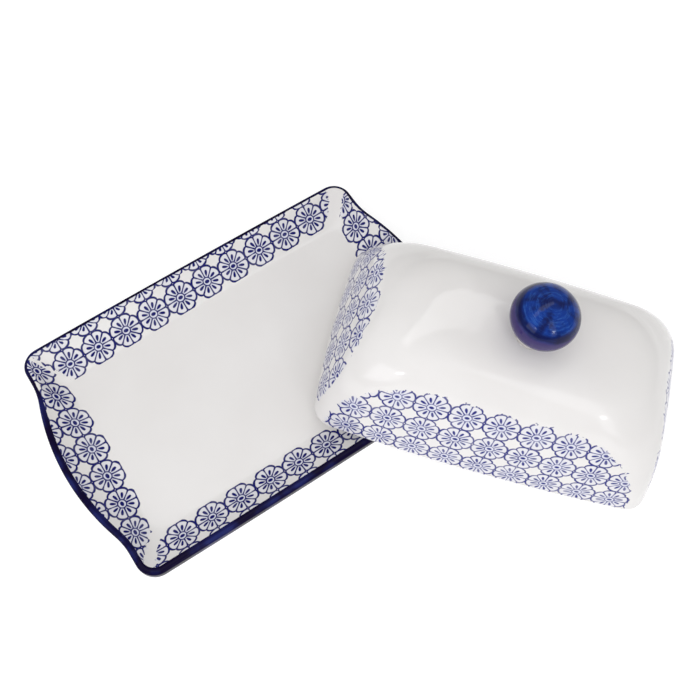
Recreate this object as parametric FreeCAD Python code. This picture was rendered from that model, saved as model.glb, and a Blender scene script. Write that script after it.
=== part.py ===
import FreeCAD, Part
import math
import os

from FreeCAD import Placement, Rotation, Vector

# Butter dish in glazed stoneware: a shallow tray with a handle at each end, and a domed lid
# with a knob. The lid is off the tray: it leans across the front right corner, its two long
# edges on the rim and its far end on the table. Millimetres, +Z up. The origin is the centre
# of the tray's footprint on the table, +X along the tray, -Y towards the front.

# Tray
TRAY_LENGTH = 200.0  # over the two handles
TRAY_WIDTH = 127.2  # at the corners
TRAY_HEIGHT = 16.6
HANDLE_REACH = 7.6  # how far a handle stands out from the end
HANDLE_MARGIN = 21.1  # from the side to where the handle's arc would meet the straight end
HANDLE_BLEND = 36.0  # radius of the hollow curve beside a handle
CORNER_RADIUS = 9.3
SIDE_BOW = 0.55  # outward bow of a long side
RIM_WIDTH = 3.0
RIM_ROUND = 1.3
RIM_DEPTH = 5.2  # upright outer face of the rim
FLOOR_HEIGHT = 8.0  # top of the floor above the table
FLOOR_THICKNESS = 5.0
WALL_RUN_SIDE = 16.0  # plan width of the inner wall along a long side
WALL_RUN_END = 10.6  # and at an end, beside the handle
FLOOR_CORNER_RADIUS = 7.0
FLOOR_END_REACH = 1.0  # the floor's end follows the handle by this much
WALL_START_SLOPE = 15.0  # degrees, inner wall at the floor
WALL_END_SLOPE = 42.0  # degrees, inner wall at the rim
WALL_STEPS = 5
FOOT_INSET = 17.5  # from the rim's outline to the foot's outer face, along a side
FOOT_RISE = 2.2
FOOT_FLARE = 0.3
FOOT_RING_WIDTH = 5.0

# Lid. Closed, the outer edge of its base ring rests on the tray's sloping inner wall.
LID_SEAT_END = 3.95  # from the floor's edge to the lid's end, along the tray
LID_SEAT_SIDE = 5.5  # and to its side, across the tray
LID_HEIGHT = 57.5
LID_WALL = 4.5
LID_CORNER_RADIUS = 10.6  # at the base
LID_CORNER_GROWTH = 0.84  # how fast the corners round off towards the crown
LID_ROUNDEST = 0.9  # largest corner, as a share of half the lid's width there
LID_SIDE_RADIUS = 1190.0  # bow of a long side
LID_END_RADIUS = 455.0  # bow of an end
LID_END_FULLNESS = 7.6  # higher holds the end wall upright for longer
LID_SIDE_FULLNESS = 4.15
LID_LEVELS = (0.0, 0.12, 0.26, 0.4, 0.54, 0.67, 0.78, 0.87, 0.935, 0.975, 0.993)
LID_EDGE_ROUND = 1.0  # outer edge of the base ring
LID_BEVEL = 0.8  # inner edge of the base ring
LID_BEVEL_REACH = 0.5  # how far the cut for the bevel runs past it at both ends

# Knob
BALL_RADIUS = 14.8
BALL_HALF_HEIGHT = 12.6
BALL_RISE = 17.0  # ball centre above the crown
KNOB_OFFSET = 0.8  # luted on by hand, a little off centre
NECK_RADIUS = 7.2  # where the ball sits on the neck
NECK_WAIST_RADIUS = 6.2
NECK_FOOT_RADIUS = 8.4
CROWN_MARGIN = 1.0  # flat crown beyond the neck's foot

# Lid at rest, leaning on the tray
LEAN_X = 3.6  # lid centre from the tray's front right corner
LEAN_Y = -4.8
LEAN_TURN = -47.7  # degrees about Z
LEAN_GAP = 0.12  # between the lid and what it rests on
LEAN_FIRST_TILT = 5.0  # degrees, where the search for the lid's tilt starts
LEAN_ROUNDS = 12
HALVINGS = 60  # steps in the search for a crossing
BASE_POINTS = 400  # points that the lid's base is tested at

LEVEL_TOLERANCE = 0.01  # edges within this height of each other are on one level


def point(radius, angle, centre, z):
    """A point on a circle in the plane at height z."""
    return Vector(centre[0] + radius * math.cos(angle), centre[1] + radius * math.sin(angle), z)


def arc(radius, start, end, centre, z):
    """An arc from one angle to another, in radians, in the plane at height z."""
    middle = (start + end) / 2
    return Part.Arc(
        point(radius, start, centre, z), point(radius, middle, centre, z), point(radius, end, centre, z)
    ).toShape()


def mirrored(edges, normal):
    """The edges mirrored in the plane through the origin, in the opposite order."""
    return [edge.mirror(Vector(0, 0, 0), normal) for edge in reversed(edges)]


def closed_wire(quarter):
    """One closed wire from the edges of its first quarter, which run from +X round to +Y."""
    half = quarter + mirrored(quarter, Vector(1, 0, 0))
    return Part.Wire(half + mirrored(half, Vector(0, 1, 0)))


def bow_radius(half_span, rise):
    """Radius of an arc that rises this much over its span."""
    return (half_span**2 + rise**2) / (2 * rise)


def tray_wire(half_length, half_width, handle_half_width, reach, corner, z):
    """The tray's outline at one height: handle arcs, hollow blends, straights, corners and
    bowed sides. half_length is to the straight part of the end."""
    handle = bow_radius(handle_half_width, reach)
    handle_centre = (half_length + reach - handle, 0)
    blend_x = half_length + HANDLE_BLEND
    blend_y = math.sqrt((handle + HANDLE_BLEND) ** 2 - (blend_x - handle_centre[0]) ** 2)
    turn = math.atan2(blend_y, blend_x - handle_centre[0])
    side = bow_radius(half_length, SIDE_BOW)
    side_centre = (0, half_width + SIDE_BOW - side)
    corner_x = half_length - corner
    corner_y = side_centre[1] + math.sqrt((side - corner) ** 2 - corner_x**2)
    lean = math.atan2(corner_y - side_centre[1], corner_x)
    end_of_blend = Vector(half_length, blend_y, z)
    start_of_corner = Vector(half_length, corner_y, z)
    return closed_wire(
        [
            arc(handle, 0, turn, handle_centre, z),
            arc(HANDLE_BLEND, math.pi + turn, math.pi, (blend_x, blend_y), z),
            Part.LineSegment(end_of_blend, start_of_corner).toShape(),
            arc(corner, 0, lean, (corner_x, corner_y), z),
            arc(side, lean, math.pi / 2, side_centre, z),
        ]
    )


HALF_LENGTH = TRAY_LENGTH / 2 - HANDLE_REACH
HALF_WIDTH = TRAY_WIDTH / 2
HANDLE_HALF_WIDTH = HALF_WIDTH - HANDLE_MARGIN
FLOOR_HALF_LENGTH = HALF_LENGTH - RIM_WIDTH - WALL_RUN_END
FLOOR_HALF_WIDTH = HALF_WIDTH - RIM_WIDTH - WALL_RUN_SIDE
FOOT_HALF_LENGTH = HALF_LENGTH - FOOT_INSET * WALL_RUN_END / WALL_RUN_SIDE
FOOT_HALF_WIDTH = HALF_WIDTH - FOOT_INSET
LID_LENGTH = 2 * (FLOOR_HALF_LENGTH + LID_SEAT_END)
LID_WIDTH = 2 * (FLOOR_HALF_WIDTH + LID_SEAT_SIDE)


FLOOR_HANDLE_HALF_WIDTH = FLOOR_HALF_WIDTH - HANDLE_MARGIN


def between(low, high, share):
    return low + (high - low) * share


def inner_tray_wire(out, up):
    """The hollow's outline, from the floor's edge, out 0, to the rim, out 1."""
    return tray_wire(
        between(FLOOR_HALF_LENGTH, HALF_LENGTH - RIM_WIDTH, out),
        between(FLOOR_HALF_WIDTH, HALF_WIDTH - RIM_WIDTH, out),
        between(FLOOR_HANDLE_HALF_WIDTH, HANDLE_HALF_WIDTH, out),
        between(FLOOR_END_REACH, HANDLE_REACH, out),
        between(FLOOR_CORNER_RADIUS, CORNER_RADIUS - RIM_WIDTH, out),
        between(FLOOR_HEIGHT, TRAY_HEIGHT, up),
    )


def outer_tray_wire(out, z):
    """The outside's outline, from the foot, out 0, to the rim, out 1."""
    return tray_wire(
        between(FOOT_HALF_LENGTH, HALF_LENGTH, out),
        between(FOOT_HALF_WIDTH, HALF_WIDTH, out),
        between(FLOOR_HANDLE_HALF_WIDTH, HANDLE_HALF_WIDTH, out),
        between(FLOOR_END_REACH, HANDLE_REACH, out),
        between(FLOOR_CORNER_RADIUS, CORNER_RADIUS, out),
        z,
    )


def wall_sections():
    """The hollow's outlines, whose slope grows evenly from the floor to the rim."""
    low = math.radians(WALL_START_SLOPE)
    high = math.radians(WALL_END_SLOPE)
    wires = []
    for step in range(WALL_STEPS + 1):
        slope = between(low, high, step / WALL_STEPS)
        out = (math.sin(slope) - math.sin(low)) / (math.sin(high) - math.sin(low))
        up = (math.cos(low) - math.cos(slope)) / (math.cos(low) - math.cos(high))
        wires.append(inner_tray_wire(out, up))
    return wires


def loft(wires, ruled=False):
    return Part.makeLoft(wires, True, ruled)


def make_tray():
    rim_base = TRAY_HEIGHT - RIM_DEPTH
    foot_flare = FOOT_FLARE / FOOT_INSET
    outside = loft(
        [
            outer_tray_wire(0, 0),
            outer_tray_wire(foot_flare, FOOT_RISE),
            outer_tray_wire(1, rim_base),
            outer_tray_wire(1, TRAY_HEIGHT),
        ],
        ruled=True,
    )
    hollow = loft(wall_sections())
    recess_outline = tray_wire(
        FOOT_HALF_LENGTH - FOOT_RING_WIDTH,
        FOOT_HALF_WIDTH - FOOT_RING_WIDTH,
        FLOOR_HANDLE_HALF_WIDTH,
        FLOOR_END_REACH,
        FLOOR_CORNER_RADIUS,
        0,
    )
    recess = Part.Face(recess_outline).extrude(Vector(0, 0, FLOOR_HEIGHT - FLOOR_THICKNESS))
    tray = outside.cut(hollow).cut(recess)
    rim_edges = [edge for edge in tray.Edges if edge.BoundBox.ZMin > TRAY_HEIGHT - LEVEL_TOLERANCE]
    return tray.makeFillet(RIM_ROUND, rim_edges)


def lid_inset(half, fullness, level):
    """How far the wall has drawn in at a share of the lid's height."""
    return half * (1 - (1 - level) ** (1 / fullness))


def bowed_rectangle(half_length, half_width, corner, z):
    """A rounded rectangle with bowed sides, every arc tangent to the next."""
    side_centre = Vector(0, half_width - LID_SIDE_RADIUS, 0)
    end_centre = Vector(half_length - LID_END_RADIUS, 0, 0)
    to_side = LID_SIDE_RADIUS - corner
    to_end = LID_END_RADIUS - corner
    span = side_centre - end_centre
    along = (to_end**2 - to_side**2 + span.Length**2) / (2 * span.Length)
    across = math.sqrt(to_end**2 - along**2)
    unit = span / span.Length
    corner_centre = end_centre + unit * along + Vector(-unit.y, unit.x, 0) * across
    end_turn = math.atan2(corner_centre.y - end_centre.y, corner_centre.x - end_centre.x)
    side_turn = math.atan2(corner_centre.y - side_centre.y, corner_centre.x - side_centre.x)
    return closed_wire(
        [
            arc(LID_END_RADIUS, 0, end_turn, end_centre, z),
            arc(corner, end_turn, side_turn, corner_centre, z),
            arc(LID_SIDE_RADIUS, side_turn, math.pi / 2, side_centre, z),
        ]
    )


def crown_level(thickness):
    """The level at which the lid is as narrow as the flat crown under the knob."""
    half_crown = NECK_FOOT_RADIUS + CROWN_MARGIN - thickness
    return 1 - (half_crown / (LID_WIDTH / 2 - thickness)) ** LID_SIDE_FULLNESS


def lid_wire(level, thickness):
    """The lid's outline at a share of its height, drawn in by a wall thickness."""
    length = LID_LENGTH / 2 - thickness
    width = LID_WIDTH / 2 - thickness
    end_inset = lid_inset(length, LID_END_FULLNESS, level)
    side_inset = lid_inset(width, LID_SIDE_FULLNESS, level)
    growth = LID_CORNER_GROWTH * (end_inset + side_inset) / 2
    corner = LID_CORNER_RADIUS - thickness + growth
    roundest = LID_ROUNDEST * (width - side_inset)
    height = (LID_HEIGHT - thickness) * level
    return bowed_rectangle(length - end_inset, width - side_inset, min(corner, roundest), height)


def wire_at(height, thickness):
    """The lid's outline at a height, drawn in by a wall thickness."""
    return lid_wire(height / (LID_HEIGHT - thickness), thickness)


def make_lid_shell():
    outside = loft([lid_wire(level, 0) for level in LID_LEVELS + (crown_level(0),)])
    base_edges = [edge for edge in outside.Edges if edge.BoundBox.ZMax < LEVEL_TOLERANCE]
    outside = outside.makeFillet(LID_EDGE_ROUND, base_edges)
    hollow = loft([lid_wire(level, LID_WALL) for level in LID_LEVELS + (crown_level(LID_WALL),)])
    bevel = loft(
        [
            wire_at(-LID_BEVEL_REACH, LID_WALL - LID_BEVEL - LID_BEVEL_REACH),
            wire_at(LID_BEVEL + LID_BEVEL_REACH, LID_WALL + LID_BEVEL_REACH),
        ],
        ruled=True,
    )
    return outside.cut(hollow).cut(bevel)


def make_knob():
    """The ball and its neck, turned about the lid's upright, on the flat crown."""
    crown = LID_HEIGHT * crown_level(0)
    centre = crown + BALL_RISE
    top = Vector(0, 0, centre + BALL_HALF_HEIGHT)
    ball = Part.Ellipse(Vector(BALL_RADIUS, 0, centre), top, Vector(0, 0, centre))
    join = -math.acos(NECK_RADIUS / BALL_RADIUS)
    neck_top = ball.value(join)
    waist = (crown + neck_top.z) / 2
    foot = Vector(NECK_FOOT_RADIUS, 0, crown)
    neck = Part.Arc(foot, Vector(NECK_WAIST_RADIUS, 0, waist), neck_top)
    profile = Part.Wire(
        [
            Part.LineSegment(Vector(0, 0, crown), foot).toShape(),
            neck.toShape(),
            Part.ArcOfEllipse(ball, join, math.pi / 2).toNurbs().toShape(),
            Part.LineSegment(top, Vector(0, 0, crown)).toShape(),
        ]
    )
    knob = Part.Face(profile).revolve(Vector(0, 0, 0), Vector(0, 0, 1), 360)
    knob.translate(Vector(KNOB_OFFSET, 0, 0))
    return knob


def crossing(placement, side, centre, radius):
    """Where the inner edge of the lid's base ring, on one long side, crosses a rim crest that
    is a circle in plan."""
    width = LID_WIDTH / 2 - LID_WALL
    low = -LID_LENGTH / 2
    high = LID_LENGTH / 2
    for _ in range(HALVINGS):
        middle = (low + high) / 2
        across = width - LID_SIDE_RADIUS + math.sqrt(LID_SIDE_RADIUS**2 - middle**2)
        spot = placement.multVec(Vector(middle, side * across, 0))
        if math.hypot(spot.x - centre[0], spot.y - centre[1]) < radius:
            low = middle
        else:
            high = middle
    return spot


def plane_through(spots, heights):
    """Height at the origin and the slopes along X and Y of the plane at those heights."""
    a, b, c = spots
    first = Vector(b.x - a.x, b.y - a.y, heights[1] - heights[0])
    second = Vector(c.x - a.x, c.y - a.y, heights[2] - heights[0])
    normal = first.cross(second)
    slope_x = -normal.x / normal.z
    slope_y = -normal.y / normal.z
    return heights[0] - slope_x * a.x - slope_y * a.y, slope_x, slope_y


def lean_placement():
    """Where the lid stands: its base plane on the front rim, the right rim and the table."""
    centre = Vector(HALF_LENGTH + LEAN_X, -HALF_WIDTH + LEAN_Y, 0)
    turn = Rotation(Vector(0, 0, 1), LEAN_TURN)
    side = bow_radius(HALF_LENGTH, SIDE_BOW)
    front_centre = (0, side - HALF_WIDTH - SIDE_BOW)
    handle = bow_radius(HANDLE_HALF_WIDTH, HANDLE_REACH)
    end_centre = (HALF_LENGTH + HANDLE_REACH - handle, 0)
    base = lid_wire(0, 0).discretize(BASE_POINTS)
    crest = TRAY_HEIGHT + LEAN_GAP
    placement = Placement(centre, turn.multiply(Rotation(Vector(0, 1, 0), LEAN_FIRST_TILT)))
    for _ in range(LEAN_ROUNDS):
        front = crossing(placement, -1, front_centre, side - RIM_WIDTH / 2)
        end = crossing(placement, 1, end_centre, handle - RIM_WIDTH / 2)
        low = min((placement.multVec(spot) for spot in base), key=lambda spot: spot.z)
        height, slope_x, slope_y = plane_through((front, end, low), (crest, crest, LEAN_GAP))
        down = turn.inverted().multVec(Vector(slope_x, slope_y, 0))
        tilt = -math.atan(down.x)
        roll = math.atan(down.y * math.cos(tilt))
        centre.z = height + slope_x * centre.x + slope_y * centre.y
        tipped = Rotation(Vector(0, 1, 0), math.degrees(tilt))
        rolled = Rotation(Vector(1, 0, 0), math.degrees(roll))
        placement = Placement(centre, turn.multiply(tipped).multiply(rolled))
    return placement


def placed(shape, placement):
    shape.Placement = placement.multiply(shape.Placement)
    return shape


def export(name, shape):
    shape.exportStep("parts/" + name + ".step")


def main():
    os.makedirs("parts", exist_ok=True)
    lean = lean_placement()
    export("tray", make_tray())
    export("lid_shell", placed(make_lid_shell(), lean))
    export("knob", placed(make_knob(), lean))


main()
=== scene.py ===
import math

import bpy
import numpy as np
from mathutils import Matrix, Vector


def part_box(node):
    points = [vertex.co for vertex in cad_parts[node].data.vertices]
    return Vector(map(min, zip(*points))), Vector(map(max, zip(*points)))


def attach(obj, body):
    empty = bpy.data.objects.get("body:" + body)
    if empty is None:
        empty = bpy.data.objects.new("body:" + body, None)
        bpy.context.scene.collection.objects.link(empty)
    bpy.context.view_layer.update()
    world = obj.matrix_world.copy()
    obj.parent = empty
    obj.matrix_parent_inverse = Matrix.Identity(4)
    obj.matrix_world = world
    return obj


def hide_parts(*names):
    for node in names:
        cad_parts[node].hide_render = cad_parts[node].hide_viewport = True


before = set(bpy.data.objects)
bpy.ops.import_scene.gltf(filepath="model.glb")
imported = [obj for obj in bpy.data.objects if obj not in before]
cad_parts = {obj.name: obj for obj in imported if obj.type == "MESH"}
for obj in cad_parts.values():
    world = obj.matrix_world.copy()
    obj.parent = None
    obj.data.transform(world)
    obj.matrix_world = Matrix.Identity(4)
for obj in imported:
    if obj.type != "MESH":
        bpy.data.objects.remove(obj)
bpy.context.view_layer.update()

# Glazed butter dish: a tray, and a lid with a knob that leans across the tray's corner.
# Every length is in millimetres until a mesh, a light or the camera is made.
MM = 0.001

# Tray
TRAY_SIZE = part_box("tray")[1] / MM  # half length, half width and height
SIDE_BOW = 0.55
HANDLE_REACH = 7.6
HANDLE_MARGIN = 21.1
HANDLE_BLEND = 36.0
CORNER_RADIUS = 9.3
RIM_WIDTH = 3.0
RIM_ROUND = 1.3
RIM_DEPTH = 5.2
FLOOR_HEIGHT = 8.0
FLOOR_THICKNESS = 5.0
FLOOR_BLEND = 1.0  # width of the easing from the floor into the wall
FLOOR_LIP = 0.04  # how far the floor has risen at its end
WALL_RUN_SIDE = 16.0
WALL_RUN_END = 10.6
FLOOR_CORNER_RADIUS = 7.0
FLOOR_END_REACH = 1.0
WALL_START_SLOPE = math.radians(15)
WALL_END_SLOPE = math.radians(42)
FOOT_INSET = 17.5
FOOT_RISE = 2.2
FOOT_FLARE = 0.3
FOOT_RING_WIDTH = 5.0
FOOT_ROUND = 0.7
BARE_HEIGHT = 0.4  # the foot is bare clay up to here

TRAY_HEIGHT = TRAY_SIZE[2]
HALF_LENGTH = TRAY_SIZE[0] - HANDLE_REACH
HALF_WIDTH = TRAY_SIZE[1] - SIDE_BOW
FLOOR_HALF_LENGTH = HALF_LENGTH - RIM_WIDTH - WALL_RUN_END
FLOOR_HALF_WIDTH = HALF_WIDTH - RIM_WIDTH - WALL_RUN_SIDE
FOOT_HALF_LENGTH = HALF_LENGTH - FOOT_INSET * WALL_RUN_END / WALL_RUN_SIDE
FOOT_HALF_WIDTH = HALF_WIDTH - FOOT_INSET
HANDLE_HALF_WIDTH = HALF_WIDTH - HANDLE_MARGIN
FLOOR_HANDLE_HALF_WIDTH = FLOOR_HALF_WIDTH - HANDLE_MARGIN

# Lid, in its own frame: along, across and up
LID_HEIGHT = 57.5  # where its profile closes; the flat crown is cut just below
LID_WALL = 4.5
LID_CORNER_RADIUS = 10.6
LID_CORNER_GROWTH = 0.84  # how fast the corners round off as the outline shrinks
LID_ROUNDEST = 0.9  # the most that a corner rounds, as a share of the half width
LID_SIDE_RADIUS = 1190.0
LID_END_RADIUS = 455.0
LID_END_FULLNESS = 7.6
LID_SIDE_FULLNESS = 4.15
LID_EDGE_ROUND = 1.0
LID_BEVEL = 0.8

# Knob
BALL_RISE = 17.0
NECK_RADIUS = 7.2
NECK_WAIST_RADIUS = 6.2
NECK_FOOT_RADIUS = 8.4
CROWN_MARGIN = 1.0
POLE_RADIUS = 0.35

# Printed flowers
TRAY_PITCH = 15.606
LID_PITCH = 15.816
PETALS = 8

# Points along each run of a quarter outline, both ends included
HANDLE_POINTS = 22
BLEND_POINTS = 10
STRAIGHT_POINTS = 5
TRAY_CORNER_POINTS = 15
TRAY_SIDE_POINTS = 34
LID_END_POINTS = 16
LID_CORNER_POINTS = 19
LID_SIDE_POINTS = 28

# Columns of a quarter up to the middle of its corner
TRAY_END_COLUMNS = HANDLE_POINTS + BLEND_POINTS - 1 + STRAIGHT_POINTS - 1 + TRAY_CORNER_POINTS // 2
LID_END_COLUMNS = LID_END_POINTS - 1 + LID_CORNER_POINTS // 2

# Rings of each surface
ROUND_STEPS = 4
CREST_STEPS = 6
LID_EDGE_STEPS = 5
WALL_ROWS = 15
LID_OUTSIDE_ROWS = 54
LID_INSIDE_ROWS = 44
NECK_ROWS = 9
BALL_ROWS = 52
KNOB_COLUMNS = 96
PROFILE_STEPS = 6001  # fine steps up the lid's profile, from which even ones are picked


# ---------------------------------------------------------------- meshes

def between(low, high, share):
    return low + (high - low) * share


def arc(radius, start, end, centre, count):
    """Points along an arc, both ends included."""
    return [
        (centre[0] + radius * math.cos(angle), centre[1] + radius * math.sin(angle))
        for angle in np.linspace(start, end, count)
    ]


def bow_radius(half_span, rise):
    return (half_span**2 + rise**2) / (2 * rise)


def closed(quarter):
    """A closed outline from its first quarter, which runs from +X round to +Y."""
    half = quarter + [(-x, y) for x, y in reversed(quarter[:-1])]
    return half + [(x, -y) for x, y in reversed(half[1:-1])]


def joined(*runs):
    """Runs of points end to end, each shared end kept once."""
    points = list(runs[0])
    for run in runs[1:]:
        points += run[1:]
    return points


def quarter_turns(count):
    return [math.pi / 2 * step / count for step in range(count + 1)]


def lifted(outline, height):
    return [(x, y, height) for x, y in outline]


def shrunk(outline, share, height):
    return [(x * share, y * share, height) for x, y in outline]


def ring_mesh(name, rings):
    """A closed mesh of quads through the rings, which all have as many points."""
    count = len(rings[0])
    points = [point for ring in rings for point in ring]
    faces = []
    for low in range(0, len(points) - count, count):
        high = low + count
        for column in range(count):
            after = (column + 1) % count
            faces.append((low + column, low + after, high + after, high + column))
    faces.append(tuple(range(count))[::-1])
    faces.append(tuple(range(len(points) - count, len(points))))
    mesh = bpy.data.meshes.new(name)
    mesh.from_pydata([tuple(MM * value for value in point) for point in points], [], faces)
    mesh.polygons.foreach_set("use_smooth", [True] * len(mesh.polygons))
    return mesh


def add_piece(name, mesh, body, node, material):
    piece = bpy.data.objects.new(name, mesh)
    bpy.context.scene.collection.objects.link(piece)
    mesh.materials.append(material)
    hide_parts(node)
    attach(piece, body)


def write_uv(mesh, name, values):
    """A UV layer from one pair per face corner."""
    layer = mesh.uv_layers.new(name=name)
    layer.data.foreach_set("uv", np.asarray(values, dtype=np.float32).ravel())


def corners(mesh):
    """The vertex and the face of every face corner."""
    vertex = np.zeros(len(mesh.loops), dtype=int)
    mesh.loops.foreach_get("vertex_index", vertex)
    face = np.zeros(len(mesh.loops), dtype=int)
    for polygon in mesh.polygons:
        face[list(polygon.loop_indices)] = polygon.index
    return vertex, face


def panel_of(column, count, end_columns):
    """Which side of the tray or the lid a column of faces is on."""
    quarter = count // 4
    if column < end_columns or column >= count - end_columns:
        return "right"
    if column < 2 * quarter - end_columns:
        return "far"
    if column < 2 * quarter + end_columns:
        return "left"
    return "near"


# ---------------------------------------------------------------- shader arithmetic

class Value:
    """A number in a node tree. Arithmetic on it adds Math nodes."""

    def __init__(self, tree, socket):
        self.tree = tree
        self.socket = socket

    def math(self, operation, *others):
        node = self.tree.nodes.new("ShaderNodeMath")
        node.operation = operation
        for slot, value in zip(node.inputs, (self,) + others):
            if isinstance(value, Value):
                self.tree.links.new(value.socket, slot)
            else:
                slot.default_value = value
        return Value(self.tree, node.outputs[0])

    def __add__(self, other):
        return self.math("ADD", other)

    def __sub__(self, other):
        return self.math("SUBTRACT", other)

    def __mul__(self, other):
        return self.math("MULTIPLY", other)

    def __truediv__(self, other):
        return self.math("DIVIDE", other)

    def __abs__(self):
        return self.math("ABSOLUTE")

    def __pow__(self, other):
        return self.math("POWER", other)

    def flipped(self):
        """One minus this."""
        return (self * -1.0) + 1.0

    def top(self, other):
        return self.math("MAXIMUM", other)

    def least(self, other):
        return self.math("MINIMUM", other)

    def smooth(self, low, high):
        """0 below low, 1 above high, smooth between them."""
        node = self.tree.nodes.new("ShaderNodeMapRange")
        node.interpolation_type = "SMOOTHSTEP"
        self.tree.links.new(self.socket, node.inputs["Value"])
        node.inputs["From Min"].default_value = low
        node.inputs["From Max"].default_value = high
        return Value(self.tree, node.outputs["Result"])


def uv_values(tree, name):
    source = tree.nodes.new("ShaderNodeUVMap")
    source.uv_map = name
    split = tree.nodes.new("ShaderNodeSeparateXYZ")
    tree.links.new(source.outputs["UV"], split.inputs["Vector"])
    return Value(tree, split.outputs["X"]), Value(tree, split.outputs["Y"])


def vector(tree, x, y, z):
    join = tree.nodes.new("ShaderNodeCombineXYZ")
    for slot, value in zip(join.inputs, (x, y, z)):
        tree.links.new(value.socket, slot)
    return join.outputs["Vector"]


def cloud(tree, place, scale, detail=2.0, roughness=0.5):
    """Smooth noise between about 0.2 and 0.8, centred on 0.5."""
    node = tree.nodes.new("ShaderNodeTexNoise")
    node.inputs["Scale"].default_value = scale
    node.inputs["Detail"].default_value = detail
    node.inputs["Roughness"].default_value = roughness
    tree.links.new(place, node.inputs["Vector"])
    return Value(tree, node.outputs["Fac"])


def object_place(tree):
    return tree.nodes.new("ShaderNodeTexCoord").outputs["Object"]


def mixed(tree, share, low, high):
    """A colour between two colours or colour sockets."""
    node = tree.nodes.new("ShaderNodeMix")
    node.data_type = "RGBA"
    tree.links.new(share.socket, node.inputs["Factor"])
    colours = [slot for slot in node.inputs if slot.type == "RGBA"]
    for slot, value in zip(colours, (low, high)):
        if isinstance(value, tuple):
            slot.default_value = (*value, 1.0)
        else:
            tree.links.new(value, slot)
    return next(slot for slot in node.outputs if slot.type == "RGBA")


def new_material(name):
    material = bpy.data.materials.new(name)
    material.use_nodes = True
    tree = material.node_tree
    return material, tree, tree.nodes["Principled BSDF"]


def add_bump(tree, shader, height, strength, distance):
    bump = tree.nodes.new("ShaderNodeBump")
    bump.inputs["Strength"].default_value = strength
    bump.inputs["Distance"].default_value = distance
    tree.links.new(height.socket, bump.inputs["Height"])
    tree.links.new(bump.outputs["Normal"], shader.inputs["Normal"])


# ---------------------------------------------------------------- the printed flower

# In halves of the pitch, from the flower's centre
OUTLINE_RADIUS = 1.03
OUTLINE_NOTCH = 0.12
RING_RADIUS = 0.27
DASH_START = 0.32
DASH_LENGTH = 0.45
DASH_WIDTH = 0.205
DOT_RADIUS = 0.135
DOT_SQUASH = 0.3
OUTLINE_WEIGHT = 0.070  # half widths of the lines
LINE_WEIGHT = 0.042
DIVIDER_FLARE = 0.02
LINE_SOFTNESS = 0.025

SWAY = 0.06  # how far the flowers drift, in pitches
WEIGHT_DRIFT = 0.05
RAGGEDNESS = 7.0  # of a panel's edge, in millimetres
WASH_EDGE = 0.16  # strength of the pale blue inside a flower, at its outline
WASH_CENTRE = 0.26  # how much more its centre has
EDGE_SOFTNESS = 0.12  # of the edges of the print and of the band, in millimetres


def stroke(distance, half_width):
    """Ink that covers a line out to its half width."""
    return (distance - half_width).smooth(-LINE_SOFTNESS, LINE_SOFTNESS).flipped()


def flower(across, along, weight):
    """Ink of one flower per square pitch, what is inside its outline, and the radius."""
    x = (across.math("FRACT") - 0.5) * 2.0
    y = (along.math("FRACT") - 0.5) * 2.0
    radius = (x * x + y * y).math("SQRT")
    turn = (y.math("ARCTAN2", x) * (PETALS / (2 * math.pi))).math("FRACT") - 0.5
    edge = abs(turn) * 2.0
    angle = turn * (2 * math.pi / PETALS)
    rim = ((edge ** 3.0) * -OUTLINE_NOTCH) + OUTLINE_RADIUS
    inside = (radius - rim).smooth(-LINE_SOFTNESS, LINE_SOFTNESS).flipped()
    outline = stroke(abs(radius - rim), weight + OUTLINE_WEIGHT)

    to_divider = radius * edge.flipped() * (math.pi / PETALS)
    outer_flare = radius.smooth(0.6, 1.0) * DIVIDER_FLARE
    inner_flare = radius.smooth(0.26, 0.5).flipped() * DIVIDER_FLARE
    divider = stroke(to_divider, outer_flare + inner_flare + weight + LINE_WEIGHT)
    divider = divider * inside * radius.smooth(RING_RADIUS, RING_RADIUS + 0.05)

    reach = (radius * angle.math("COSINE") - DASH_START) / DASH_LENGTH
    reach = reach.top(0.0).least(1.0)
    dash_width = (reach ** 0.7) * (reach.flipped() ** 0.4) * DASH_WIDTH
    dash = stroke(abs(radius * angle.math("SINE")), dash_width + weight * 0.8 - LINE_SOFTNESS / 2)
    dash = dash * reach.smooth(0.0, 0.12) * reach.smooth(0.93, 1.0).flipped()

    ring = stroke(abs(radius - RING_RADIUS), weight + LINE_WEIGHT)
    dot_distance = (x * x * (1 - DOT_SQUASH) + y * y * (1 + DOT_SQUASH)).math("SQRT")
    dot = stroke(dot_distance, weight + DOT_RADIUS)
    ink = outline.top(divider).top(dash).top(ring).top(dot)
    return ink, inside, radius


def printed(tree, place, faintest, boldness):
    """The print's ink and its pale wash, from the Print and Reach layers of the mesh."""
    across, along = uv_values(tree, "Print")
    reach, _ = uv_values(tree, "Reach")
    sway = (cloud(tree, place, 55.0) - 0.5) * SWAY
    weight = (cloud(tree, place, 260.0) - 0.5) * WEIGHT_DRIFT + boldness
    ink, inside, radius = flower(across + sway, along + sway * 0.7, weight)
    ragged = (cloud(tree, place, 300.0, detail=3.0, roughness=0.65) - 0.5) * RAGGEDNESS
    kept = (reach + ragged).smooth(-EDGE_SOFTNESS, EDGE_SOFTNESS)
    first_row = along.smooth(-0.012, 0.0)
    strength = cloud(tree, place, 140.0).smooth(0.25, 0.6) * (1 - faintest) + faintest
    ink = ink * kept * first_row * strength
    centre = radius.smooth(0.2, 0.95).flipped()
    wash = inside * kept * first_row * (centre * WASH_CENTRE + WASH_EDGE)
    return ink, wash


# ---------------------------------------------------------------- glazes

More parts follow.
